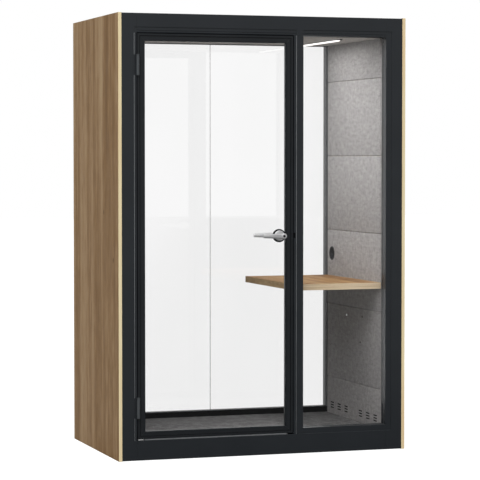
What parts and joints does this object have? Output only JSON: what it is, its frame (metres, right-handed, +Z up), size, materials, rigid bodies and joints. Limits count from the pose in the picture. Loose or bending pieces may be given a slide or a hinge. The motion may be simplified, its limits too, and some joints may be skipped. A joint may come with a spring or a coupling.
{
  "type": "acoustic office pod",
  "caption": "Free-standing acoustic booth with a framed glass door on barrel hinges, a fixed sidelight, a glass back wall, felt lined side walls, a wall desk, a ceiling light and ventilation.",
  "frame": {"origin": "on the ground under the middle of the pod, at the underside of the floor deck", "axes": "+Z up; +X to the right and +Y to the back wall, as seen by someone facing the door"},
  "size_m": [1.512, 0.9846, 2.2],
  "materials": {
    "anthracite": "fine textured anthracite powder coat on box sections",
    "oak": "matte oak decor with paler edges",
    "wool": "compressed mineral wool",
    "felt": "matte heathered grey felt",
    "carpet": "dark grey loop carpet",
    "ceiling": "matte grey felt",
    "board": "matte raw board",
    "painted_board": "matte anthracite laminate",
    "glass": "clear laminated glass",
    "rubber": "matte black",
    "steel": "satin",
    "bright_aluminium": "satin",
    "black_plastic": "matte",
    "opal": "opal diffuser, lit"
  },
  "bodies": {
    "pod": {"left_side_panel": "oak", "right_side_panel": "oak", "desk_top": "oak", "left_acoustic_core": "wool", "right_acoustic_core": "wool", "right_felt_board_1": "felt", "right_felt_board_2": "felt", "right_felt_board_3": "felt", "right_felt_board_4": "felt", "right_felt_board_5": "felt", "right_felt_board_6": "felt", "left_felt_lining": "felt", "cable_port": "black_plastic", "floor_deck": "board", "carpet": "carpet", "ceiling_panel": "ceiling", "roof_panel": "painted_board", "light_profile": "anthracite", "light_diffuser": "opal", "motion_sensor": "black_plastic", "fan_frame": "black_plastic", "power_supply": "bright_aluminium", "front_left_stile": "anthracite", "front_right_stile": "anthracite", "front_top_rail": "anthracite", "front_bottom_rail": "anthracite", "front_mullion": "anthracite", "strike_plate": "steel", "sidelight_glass": "glass", "door_stop_seal": "rubber", "hinge_upper_frame_leaf": "anthracite", "hinge_upper_pin": "steel", "hinge_lower_frame_leaf": "anthracite", "hinge_lower_pin": "steel", "back_left_stile": "anthracite", "back_right_stile": "anthracite", "back_top_rail": "anthracite", "back_bottom_rail": "anthracite", "back_left_glass": "glass", "back_right_glass": "glass", "desk_support": "steel"},
    "door": {"door_hinge_stile": "anthracite", "door_lock_stile": "anthracite", "door_top_rail": "anthracite", "door_bottom_rail": "anthracite", "door_glass": "glass", "door_gasket": "rubber", "door_bottom_seal": "bright_aluminium", "hinge_upper_door_leaf": "anthracite", "hinge_lower_door_leaf": "anthracite", "outer_rosette": "steel", "inner_rosette": "steel", "latch_case": "steel"},
    "lever": {"outer_lever": "steel", "inner_lever": "steel", "handle_spindle": "steel"},
    "latch": {"latch_bolt": "steel"},
    "key_plug": {"key_plug": "steel"},
    "fan": {"fan_rotor": "black_plastic"}
  },
  "joints": [
    {"name": "door_swing", "type": "hinge", "parent": "pod", "child": "door", "pos_m": [-0.658, -0.4638, 1.1], "axis": [0, 0, -1], "range_deg": [0, 105]},
    {"name": "lever_turn", "type": "hinge", "parent": "door", "child": "lever", "pos_m": [0.08, -0.4411, 1.101], "axis": [0, -1, 0], "range_deg": [0, 45], "stiffness_Nm_per_rad": 1, "springref_deg": -57.3},
    {"name": "latch_slide", "type": "slide", "parent": "door", "child": "latch", "axis": [-1, 0, 0], "range_m": [0, 0.01]},
    {"name": "key_turn", "type": "hinge", "parent": "lever", "child": "key_plug", "pos_m": [0.08, -0.52, 1.101], "axis": [0, -1, 0], "range_deg": [0, 90]},
    {"name": "fan_spin", "type": "hinge", "parent": "pod", "child": "fan", "pos_m": [-0.25, -0.0085, 2.126], "axis": [0, 0, 1], "continuous": true}
  ],
  "couplings": [
    {"joint": "latch_slide", "follows": "lever_turn", "m_per_rad": 0.01273}
  ]
}
